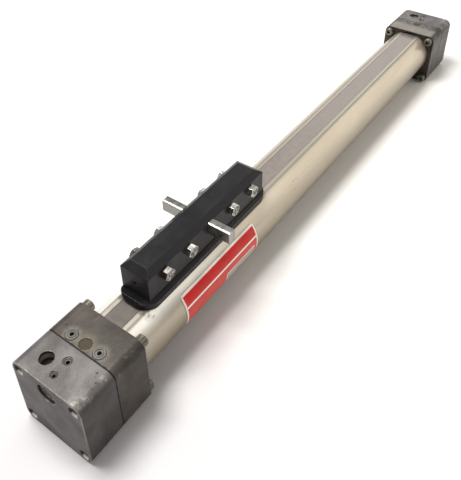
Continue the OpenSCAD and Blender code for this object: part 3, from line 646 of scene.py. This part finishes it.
# plain metals: bands, screws, plugs, inner pieces
metals = {
    # name: light, dark, metallic, roughness, line scale, grime and painted shade, rubbed edge's radius
    "rolled band": (rgb(140, 132, 125), rgb(122, 114, 108), 0.4, 0.44, 1100.0, 0.35, 0.4),
    "plated screws": (rgb(134, 129, 115), rgb(94, 90, 78), 0.7, 0.34, 900.0, 0.8, 0.4),
    "bright hex bolts": (rgb(226, 224, 218), rgb(176, 173, 166), 1.0, 0.27, 500.0, 0.85, 0.4),
    "dull ring screws": (rgb(110, 108, 104), rgb(88, 86, 82), 0.4, 0.42, 1000.0, 0.5, 0.1),
    "clamp shoe steel": (rgb(150, 145, 138), rgb(110, 105, 98), 0.85, 0.4, 800.0, 0.5, 0.4),
    "tarnished plug": (rgb(60, 51, 27), rgb(40, 34, 18), 0.1, 0.6, 500.0, 0.4, 0.4),
    "dark socket plugs": (rgb(116, 110, 102), rgb(78, 72, 66), 0.6, 0.42, 800.0, 0.95, 0.4),
    "turned cushion steel": (rgb(190, 190, 188), rgb(150, 150, 148), 0.95, 0.28, 1200.0, 0.4, 0.4),
    "yoke aluminium": (rgb(190, 188, 182), rgb(150, 148, 142), 0.85, 0.4, 700.0, 0.4, 0.4),
    "head aluminium": (rgb(200, 198, 192), rgb(160, 158, 152), 0.85, 0.36, 900.0, 0.4, 0.4),
    "cross bar steel": (rgb(158, 156, 152), rgb(146, 144, 139), 0.9, 0.3, 900.0, 0.4, 0.2),
    "black set screws": (rgb(66, 63, 65), rgb(44, 42, 43), 0.3, 0.42, 900.0, 0.5, 0.4),
}

ageing = {
    "grimeShadeColour": rgb(36, 31, 27),
    "grimeShadeReach": 2.5,
    "bandGrimeShadeReach": 0.8,
    "glint": 1.35,  # how much brighter rubbed metal is
    # painted shade on the band towards the near end
    "bandShade": rgb(84, 78, 74),
    "bandShadeFrom": (-60, -240, 0.75),
    # painted shade on the bolts' outer faces
    "boltOuterShade": rgb(70, 67, 62),
    "boltSpeck": rgb(176, 173, 166),
    "boltFirstTone": rgb(104, 100, 94),  # the bolt nearest the near end
    "boltFirstFrom": (16, 12, 0.75),
    "barHighlight": rgb(240, 238, 232),
    "barShade": rgb(96, 93, 88),
    "barShares": (0.35, 0.2, 0.55),  # of its width: painted highlight's start and full, painted shade's start
}


def nearBandShade(tree, coords):
    # painted shade: darker towards the near end
    return [(fade(tree, axes(tree, coords)["X"], ageing["bandShadeFrom"]), ageing["bandShade"])]


def shadeBolts(tree, coords):
    # painted shade: the outer faces are darker, with bright specks, and the first bolt is darker
    firstBolt = fade(tree, axes(tree, coords)["X"], ageing["boltFirstFrom"], above=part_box("front_bolts")[0].x)
    outer = spread(tree, mathNode(tree, "ABSOLUTE", axes(tree, trueNormal(tree))["Y"]), 0.93, 0.98)
    specks = spread(tree, noise(tree, coords, 480.0, detail=3.0, rough=0.6), 0.42, 0.66)
    return [(firstBolt, ageing["boltFirstTone"]),
            (outer, mixColour(tree, specks, ageing["boltOuterShade"], ageing["boltSpeck"]))]


def shadeAndLightBar(tree, coords):
    # painted highlight along the upper edge that leads, painted shade towards the other
    barLow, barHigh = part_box("cross_bar")
    width = barHigh.x - barLow.x
    start, full, dark = ageing["barShares"]
    parts = axes(tree, coords)
    leading = spread(tree, parts["X"], barLow.x + start * width, barLow.x + full * width)
    top = spread(tree, parts["Z"], barHigh.z - 1.2 * mm, barHigh.z - 0.4 * mm)
    trailing = spread(tree, parts["X"], barLow.x + dark * width, barHigh.x, toHigh=0.5)
    return [(times(tree, leading, top), ageing["barHighlight"]), (trailing, ageing["barShade"])]


ownShadeAndHighlight = {"rolled band": nearBandShade, "bright hex bolts": shadeBolts, "cross bar steel": shadeAndLightBar}


def metalMaterial(name):
    light, dark, metallic, roughness, lineScale, grimeShadeAmount, edgeRadius = metals[name]
    mat, tree, skin = newMaterial(name, metallic=metallic, roughness=roughness)
    coords = objectCoords(tree)
    reach = ageing["bandGrimeShadeReach"] if name == "rolled band" else ageing["grimeShadeReach"]
    drawn = useGroup(tree, "drawnLines", Line_Scale=lineScale, Blotch_Scale=90.0)
    wear = useGroup(tree, "edgeWear", Radius=edgeRadius * mm, Breakup=500.0, Amount=0.8)
    grimeShade = useGroup(tree, "grimeAndShade", Reach=reach * mm, Amount=grimeShadeAmount)
    marks = useGroup(tree, "scratches", Scale=900.0, Amount=0.3, Turn=1.1, Length=0.06)
    grain = spread(tree, noise(tree, coords, 160.0, detail=3.0), 0.3, 0.7)
    tone = plusShare(tree, times(tree, grain, 0.6), drawn["Lines"], 0.4)
    bright = tuple(min(1.0, c * ageing["glint"]) for c in light[:3]) + (1.0,)
    # rubbed edges, scratches, then grime and painted shade in corners
    layers = [(wear["Mask"], bright), (marks["Mask"], bright), (grimeShade["Mask"], ageing["grimeShadeColour"])]
    if name in ownShadeAndHighlight:
        layers += ownShadeAndHighlight[name](tree, coords)
    plug(tree, layered(tree, mixColour(tree, tone, dark, light), layers), skin["Base Color"])
    rough = plusShare(tree, roughness - 0.07, grain, 0.16)
    plug(tree, plusShare(tree, rough, grimeShade["Mask"], 0.3, clamp=True), skin["Roughness"])
    relief = plusShare(tree, grain, marks["Mask"], -1.0)
    plug(tree, bumpNode(tree, relief, 0.02 * mm, 0.25, wear["Round Normal"]), skin["Normal"])
    return mat


# black carriage and skirt
blackLook = {
    "carriageLight": rgb(27, 26, 30),
    "carriageDark": rgb(18, 17, 20),
    "carriageRoughness": 0.42,
    "carriageWear": 0.75,
    "skirtLight": rgb(20, 18, 18),
    "skirtDark": rgb(11, 10, 10),
    "skirtRoughness": 0.28,
    "skirtWear": 0.5,
    "wornDot": rgb(200, 196, 190),
    "rub": rgb(84, 80, 80),
    "shine": 0.25,
}


def blackMaterial(piece):
    c = blackLook
    roughness = c[piece + "Roughness"]
    mat, tree, skin = newMaterial("black " + piece, metallic=0.0, roughness=roughness,
                                  Specular_IOR_Level=c["shine"])
    coords = objectCoords(tree)
    grain = spread(tree, noise(tree, coords, 900.0, detail=4.0, rough=0.6), 0.3, 0.7)
    cloud = spread(tree, noise(tree, coords, 45.0, detail=5.0, rough=0.6), 0.35, 0.7)
    wear = useGroup(tree, "edgeWear", Radius=0.6 * mm, Breakup=190.0, Amount=c[piece + "Wear"])
    marks = useGroup(tree, "scratches", Scale=600.0, Amount=0.35, Turn=1.4, Length=0.08)
    tone = plusShare(tree, times(tree, cloud, 0.65), grain, 0.35)
    plug(tree, layered(tree, mixColour(tree, tone, c[piece + "Dark"], c[piece + "Light"]), [
        (marks["Mask"], c["rub"]),
        (spread(tree, wear["Mask"], 0.1, 0.8, toHigh=0.35), c["rub"]),
        (spread(tree, wear["Mask"], 0.78, 0.92), c["wornDot"]),
    ]), skin["Base Color"])
    plug(tree, plusShare(tree, roughness - 0.06, cloud, 0.12, clamp=True), skin["Roughness"])
    relief = plusShare(tree, grain, marks["Mask"], -1.0)
    plug(tree, bumpNode(tree, relief, 0.06 * mm, 0.25, wear["Round Normal"]), skin["Normal"])
    return mat


# rubber, seals and rings
softLook = {
    # name: light, dark, roughness
    "gasket rubber": (rgb(26, 25, 24), rgb(14, 13, 13), 0.75),
    "seal rubber": (rgb(34, 33, 33), rgb(18, 18, 18), 0.55),
    "ring plastic": (rgb(214, 208, 190), rgb(186, 180, 162), 0.5),
}


def softMaterial(name):
    light, dark, roughness = softLook[name]
    mat, tree, skin = newMaterial(name, metallic=0.0, roughness=roughness)
    grain = spread(tree, noise(tree, objectCoords(tree), 900.0, detail=4.0, rough=0.55), 0.3, 0.7)
    plug(tree, mixColour(tree, grain, dark, light), skin["Base Color"])
    plug(tree, plusShare(tree, roughness - 0.08, grain, 0.15, clamp=True), skin["Roughness"])
    plug(tree, bumpNode(tree, grain, 0.1 * mm, 0.3), skin["Normal"])
    return mat


def flangeHaloes():
    # oil round the access plug, painted shade on the inner edge, chalk round both clamp screws
    c = casting
    screwsLow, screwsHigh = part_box("left_clamp_screws")
    screwOut = screwsHigh.y - (screwsHigh.x - screwsLow.x) / 2
    haloes = [((plugMid.x, 0, capHigh.z), c["plugHalo"], c["oil"], 0.9),
              ((flangeHigh.x, c["shadeOffset"] * mm, capHigh.z), c["shadeHalo"], c["grimeShadeColour"], 0.75)]
    for side in (-1, 1):
        haloes.append(((plugMid.x, side * screwOut, capHigh.z), c["screwHalo"], c["chalk"], 0.55))
    return haloes


materials = {name: metalMaterial(name) for name in metals}
materials.update({name: softMaterial(name) for name in softLook})
materials["cap casting"] = castingMaterial(
    "cap casting", casting["capLight"], casting["capDark"], haloes=[], rubbing=0.8, sideShade=0.55)
materials["flange casting"] = castingMaterial(
    "flange casting", casting["flangeLight"], casting["flangeDark"], haloes=flangeHaloes(), rubbing=0.3,
    sideShade=0.0)
materials["satin barrel"] = barrelMaterial()
materials["black carriage"] = blackMaterial("carriage")
materials["black skirt"] = blackMaterial("skirt")
print("materials built:", len(materials))


# which finish each node wears
finishOf = {
    "barrel": "satin barrel", "outer_band": "rolled band", "inner_band": "rolled band",
    "cap": "cap casting", "flange": "flange casting", "gasket": "gasket rubber",
    "flange_screws": "plated screws", "cap_seal": "seal rubber", "cushion_tube": "turned cushion steel",
    "clamp_shoe": "clamp shoe steel", "clamp_screws": "dull ring screws",
    "access_plug": "tarnished plug", "valve_plug": "dark socket plugs",
    "passage_plug": "cap casting", "needle": "dark socket plugs",
    "piston_yoke": "yoke aluminium", "piston_head": "head aluminium", "head_screws": "clamp shoe steel",
    "piston_seal": "seal rubber", "wear_ring": "ring plastic", "cushion_seal": "seal rubber",
    "carriage_body": "black carriage", "skirt": "black skirt", "carriage_screws": "clamp shoe steel",
    "set_screws": "black set screws", "front_bolts": "bright hex bolts",
    "rear_bolts": "bright hex bolts", "cross_bar": "cross bar steel",
}


def dressNodes():
    for name, obj in nodes.items():
        mat = materials[finishOf[name.removeprefix("left_").removeprefix("right_")]]
        if not obj.material_slots:
            obj.data.materials.append(mat)
        for s in obj.material_slots:
            s.material = mat


dressNodes()
print("nodes dressed")


# bands: a level strip at each side and an arch that rides over the yoke
bandShape = {
    "outerThick": 0.4,
    "outerInset": 2.5,  # where the outer band starts to lift, inside the skirt's end
    "outerNear": 47,  # half the length of its level top
    "innerThick": 0.5,
    "innerFar": 84,  # half the length of its dip
    "innerNear": 42,
    "archSteps": 96,
}


def makeBandTree():
    # a strip along X whose height follows a smooth rise: 0 at Far, Lift at Near, both from Middle
    tree = bpy.data.node_groups.new("band strip", "GeometryNodeTree")
    tree.is_modifier = True
    for label, kind, value in (
        ("Start", "Float", 0.0), ("End", "Float", 0.1), ("Height", "Float", 0.0), ("Width", "Float", 0.018),
        ("Thickness", "Float", 0.0004), ("Middle", "Float", 0.0), ("Far", "Float", 0.08),
        ("Near", "Float", 0.04), ("Lift", "Float", 0.0), ("Points", "Int", 2), ("Finish", "Material", None),
    ):
        s = tree.interface.new_socket(label, in_out="INPUT", socket_type="NodeSocket" + kind)
        if value is not None:
            s.default_value = value
    tree.interface.new_socket("Geometry", in_out="OUTPUT", socket_type="NodeSocketGeometry")
    given = addNode(tree, "NodeGroupInput").outputs
    start = joinAxes(tree, given["Start"], 0.0, given["Height"])
    end = joinAxes(tree, given["End"], 0.0, given["Height"])
    line = addNode(tree, "GeometryNodeMeshLine", {
        "Count": given["Points"], "Start Location": start, "Offset": end}, mode="END_POINTS")
    place = axes(tree, addNode(tree, "GeometryNodeInputPosition").outputs[0])
    away = mathNode(tree, "ABSOLUTE", mathNode(tree, "SUBTRACT", place["X"], given["Middle"]))
    rise = times(tree, spread(tree, away, given["Far"], given["Near"]), given["Lift"])
    lifted = addNode(tree, "GeometryNodeSetPosition", {
        "Geometry": line.outputs[0], "Offset": joinAxes(tree, 0.0, 0.0, rise)})
    path = addNode(tree, "GeometryNodeMeshToCurve", {0: lifted.outputs[0]})
    upright = addNode(tree, "GeometryNodeSetCurveNormal", {0: path.outputs[0]}, mode="Z_UP")
    section = addNode(tree, "GeometryNodeCurvePrimitiveQuadrilateral", {
        "Width": given["Width"], "Height": given["Thickness"]}, mode="RECTANGLE")
    sweep = addNode(tree, "GeometryNodeCurveToMesh", {
        "Curve": upright.outputs[0], "Profile Curve": section.outputs[0], "Fill Caps": True})
    real = addNode(tree, "GeometryNodeRealizeInstances", {0: sweep.outputs[0]})
    finish = addNode(tree, "GeometryNodeSetMaterial", {
        "Geometry": real.outputs[0], "Material": given["Finish"]})
    addNode(tree, "NodeGroupOutput", {0: finish.outputs[0]})
    return tree


def growMesh(name, tree, values, finish):
    # runs a geometry tree with these inputs and keeps the result as a plain mesh object
    host = bpy.data.objects.new(name + "_host", bpy.data.meshes.new(name + "_host"))
    bpy.context.scene.collection.objects.link(host)
    modifier = host.modifiers.new("shape", "NODES")
    modifier.node_group = tree
    sockets = {i.name: i.identifier for i in tree.interface.items_tree if i.in_out == "INPUT"}
    for label, value in values.items():
        modifier[sockets[label]] = value
    modifier[sockets["Finish"]] = finish
    graph = bpy.context.evaluated_depsgraph_get()
    mesh = bpy.data.meshes.new_from_object(host.evaluated_get(graph), depsgraph=graph)
    bpy.data.objects.remove(host)
    mesh.name = name
    work = bmesh.new()
    work.from_mesh(mesh)
    bmesh.ops.remove_doubles(work, verts=work.verts, dist=1e-6)
    bmesh.ops.recalc_face_normals(work, faces=work.faces)
    for face in work.faces:
        face.smooth = False
    work.to_mesh(mesh)
    work.free()
    obj = bpy.data.objects.new(name, mesh)
    bpy.context.scene.collection.objects.link(obj)
    return obj


def makeBand(name, tree, low, high, thick, far, near, rises):
    # rises is 1 for the outer band, which is led up, and -1 for the inner one, which is led down
    level = (low.z if rises > 0 else high.z - thick) + thick / 2
    values = {"Height": level, "Width": high.y - low.y, "Thickness": thick, "Middle": carriageX, "Far": far,
              "Near": near, "Lift": rises * (high.z - low.z - thick)}
    start, end = carriageX - far, carriageX + far
    strips = []
    for part, x0, x1, steps in (("left", low.x, start, 1), ("arch", start, end, bandShape["archSteps"]),
                                ("right", end, high.x, 1)):
        strip = growMesh(f"{name}_{part}", tree, {**values, "Start": x0, "End": x1, "Points": steps + 1},
                         materials["rolled band"])
        strips.append(strip)
    left, arch, right = strips
    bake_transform(left)
    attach(arch, "carriage")
    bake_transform(right)
    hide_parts(name)


def makeBands():
    c = bandShape
    tree = makeBandTree()
    outerFar = (skirtHigh.x - skirtLow.x) / 2 - c["outerInset"] * mm
    makeBand("outer_band", tree, *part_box("outer_band"), c["outerThick"] * mm, outerFar,
             c["outerNear"] * mm, 1)
    makeBand("inner_band", tree, *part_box("inner_band"), c["innerThick"] * mm, c["innerFar"] * mm,
             c["innerNear"] * mm, -1)


makeBands()
print("bands laid")


# label on the barrel's flank: bare colour fields
label = {
    "start": 116.8,  # from the outer face
    "end": 220.2,
    "top": 48.0,  # degrees from the top towards the front
    "bottom": 131.0,
    "corner": 3.5,
    "lift": 0.12,
    "thick": 0.1,
    "rows": 40,
    "columns": 64,
    "white": rgb(252, 244, 232),
    # the sticker's dark edge, with a painted shadow
    "rim": rgb(92, 76, 66),
    "rimWidth": 0.35,
    "faded": rgb(214, 150, 138),
    "edgeSoft": 0.15,
    "fields": [
        # first and last degree from the top, margins from the start and the end, colour
        (53.4, 73.4, 2.3, 2.0, rgb(206, 14, 8)),
        (77.0, 126.0, 2.3, 2.0, rgb(214, 52, 42)),
        (90.6, 121.0, 55.2, 6.4, rgb(252, 244, 232)),
        (92.0, 119.4, 56.0, 7.2, rgb(176, 168, 160)),
    ],
}
labelRadius = tubeRadius + label["lift"] * mm
labelArc = math.radians(label["bottom"] - label["top"]) * labelRadius
labelLength = (label["end"] - label["start"]) * mm


def labelInset(v):
    # how far the ends draw in at height v, for round corners
    corner = label["corner"] * mm
    fromEdge = min(v, labelArc - v)
    if fromEdge >= corner:
        return 0.0
    return corner - math.sqrt(max(0.0, corner ** 2 - (corner - fromEdge) ** 2))


def labelSheet():
    # a grid on the tube's flank, with mm along and down it as its UV map
    rows, columns = label["rows"], label["columns"]
    mesh = bpy.data.meshes.new("label")
    work = bmesh.new()
    uvLayer = work.loops.layers.uv.new("label")
    grid = []
    for i in range(rows + 1):
        t = i / rows
        v = labelArc * (0.5 - 0.5 * math.cos(math.pi * t)) if i not in (0, rows) else labelArc * t
        angle = math.radians(label["top"]) + v / labelRadius
        pull = labelInset(v)
        row = []
        for j in range(columns + 1):
            u = pull + (labelLength - 2 * pull) * j / columns
            vert = work.verts.new((capLow.x + label["start"] * mm + u, -labelRadius * math.sin(angle),
                                   axisHeight + labelRadius * math.cos(angle)))
            row.append((vert, u, v))
        grid.append(row)
    for i in range(rows):
        for j in range(columns):
            quad = [grid[i][j], grid[i + 1][j], grid[i + 1][j + 1], grid[i][j + 1]]
            face = work.faces.new([q[0] for q in quad])
            face.smooth = True
            for loop, q in zip(face.loops, quad):
                loop[uvLayer].uv = (q[1] / mm, q[2] / mm)
    bmesh.ops.recalc_face_normals(work, faces=work.faces)
    work.to_mesh(mesh)
    work.free()
    first = mesh.polygons[0]
    if first.normal.dot(Vector((0, first.center.y, first.center.z - axisHeight))) < 0:
        mesh.flip_normals()
    return mesh


def labelMaterial():
    c = label
    length, arc, rim, soft = labelLength / mm, labelArc / mm, c["rimWidth"], c["edgeSoft"]
    mat, tree, skin = newMaterial("label film", metallic=0.0, roughness=0.38, Coat_Weight=0.08,
                                  Coat_Roughness=0.2, Specular_IOR_Level=0.3)
    coords = objectCoords(tree)
    parts = axes(tree, addNode(tree, "ShaderNodeUVMap", uv_map="label").outputs[0])

    def stretch(value, low, high):
        return between(tree, value, low - soft, low + soft, high - soft, high + soft)

    layers = []
    degree = math.radians(1) * labelRadius / mm
    for first, last, startMargin, endMargin, tint in c["fields"]:
        down = stretch(parts["Y"], (first - c["top"]) * degree, (last - c["top"]) * degree)
        along = stretch(parts["X"], startMargin, length - endMargin)
        layers.append((times(tree, down, along), tint))
    faded = spread(tree, noise(tree, coords, 60.0, detail=4.0, rough=0.6), 0.4, 0.75, toHigh=0.25)
    layers.append((times(tree, faded, 0.4), c["faded"]))
    # the rim: the sticker's dark edge with a painted shadow
    inside = times(tree, stretch(parts["X"], rim, length - rim), stretch(parts["Y"], rim, arc - rim))
    colour = mixColour(tree, inside, c["rim"], layered(tree, c["white"], layers))
    ink = spread(tree, noise(tree, coords, 500.0, detail=5.0, rough=0.7), 0.25, 0.75,
                 toLow=0.86, toHigh=1.06)
    tint = addNode(tree, "ShaderNodeVectorMath", {0: colour, "Scale": ink}, operation="SCALE")
    plug(tree, tint.outputs[0], skin["Base Color"])
    scuffs = useGroup(tree, "scratches", Scale=500.0, Amount=0.8, Turn=0.8, Length=0.1)
    plug(tree, plusShare(tree, 0.36, scuffs["Mask"], 0.3, clamp=True), skin["Roughness"])
    plug(tree, bumpNode(tree, ink, 0.05 * mm, 0.2), skin["Normal"])
    return mat


def makeLabel():
    obj = bpy.data.objects.new("label", labelSheet())
    bpy.context.scene.collection.objects.link(obj)
    shell = obj.modifiers.new("thickness", "SOLIDIFY")
    shell.thickness = label["thick"] * mm
    shell.offset = -1
    obj.data.materials.append(labelMaterial())
    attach(obj, "cylinder")


makeLabel()
print("label laid on the barrel")


# floor and light, in metres and watts
studio = {
    "floor": rgb(240, 238, 235),
    "floorCloud": rgb(234, 231, 228),
    "floorShade": rgb(214, 212, 214),
    "floorShadeFade": (-0.34, -0.6),  # painted shade: the floor is greyer past the near end
    "floorSize": 6.0,
    "floorPlace": (0.3, 0.2, 0),
    "worldColour": (1.0, 0.985, 0.965, 1.0),
    "worldStrength": 0.34,
    "target": (-0.05, 0, 0.05),  # what the lights point at
    "lights": [
        # name, place, size, power, colour
        ("ceilingLight", (-0.3, 0.52, 1.75), 0.75, 40.0, (1.0, 0.985, 0.96)),
        ("windowLight", (1.85, 0.7, 1.15), 1.0, 8.2, (0.97, 0.98, 1.0)),
        ("nearWallLight", (0.36, -0.96, 1.1), 0.6, 1.9, (1.0, 0.96, 0.9)),
        ("farWallLight", (0.95, -0.74, 0.46), 0.95, 3.4, (1.0, 0.935, 0.82)),
    ],
}


def makeFloor():
    bpy.ops.mesh.primitive_plane_add(size=studio["floorSize"], location=studio["floorPlace"])
    floor = bpy.context.object
    floor.name = "floor"
    mat, tree, skin = newMaterial("pale floor", metallic=0.0, roughness=0.6)
    coords = objectCoords(tree)
    cloud = spread(tree, noise(tree, coords, 3.0, detail=4.0), 0.3, 0.7, toHigh=0.35)
    # painted shade on the floor past the near end
    fall = spread(tree, axes(tree, coords)["X"], *studio["floorShadeFade"])
    colour = layered(tree, studio["floor"], [(cloud, studio["floorCloud"]), (fall, studio["floorShade"])])
    plug(tree, colour, skin["Base Color"])
    floor.data.materials.append(mat)


def makeLights():
    world = bpy.data.worlds.new("soft room")
    bpy.context.scene.world = world
    world.use_nodes = True
    back = world.node_tree.nodes["Background"]
    back.inputs["Color"].default_value = studio["worldColour"]
    back.inputs["Strength"].default_value = studio["worldStrength"]
    for name, place, size, power, colour in studio["lights"]:
        data = bpy.data.lights.new(name, "AREA")
        data.shape = "SQUARE"
        data.size = size
        data.energy = power
        data.color = colour
        lamp = bpy.data.objects.new(name, data)
        lamp.location = place
        lamp.rotation_euler = (Vector(studio["target"]) - Vector(place)).to_track_quat("-Z", "Y").to_euler()
        bpy.context.scene.collection.objects.link(lamp)


makeFloor()
makeLights()
bpy.context.scene.view_settings.view_transform = "Standard"
print("studio lit")
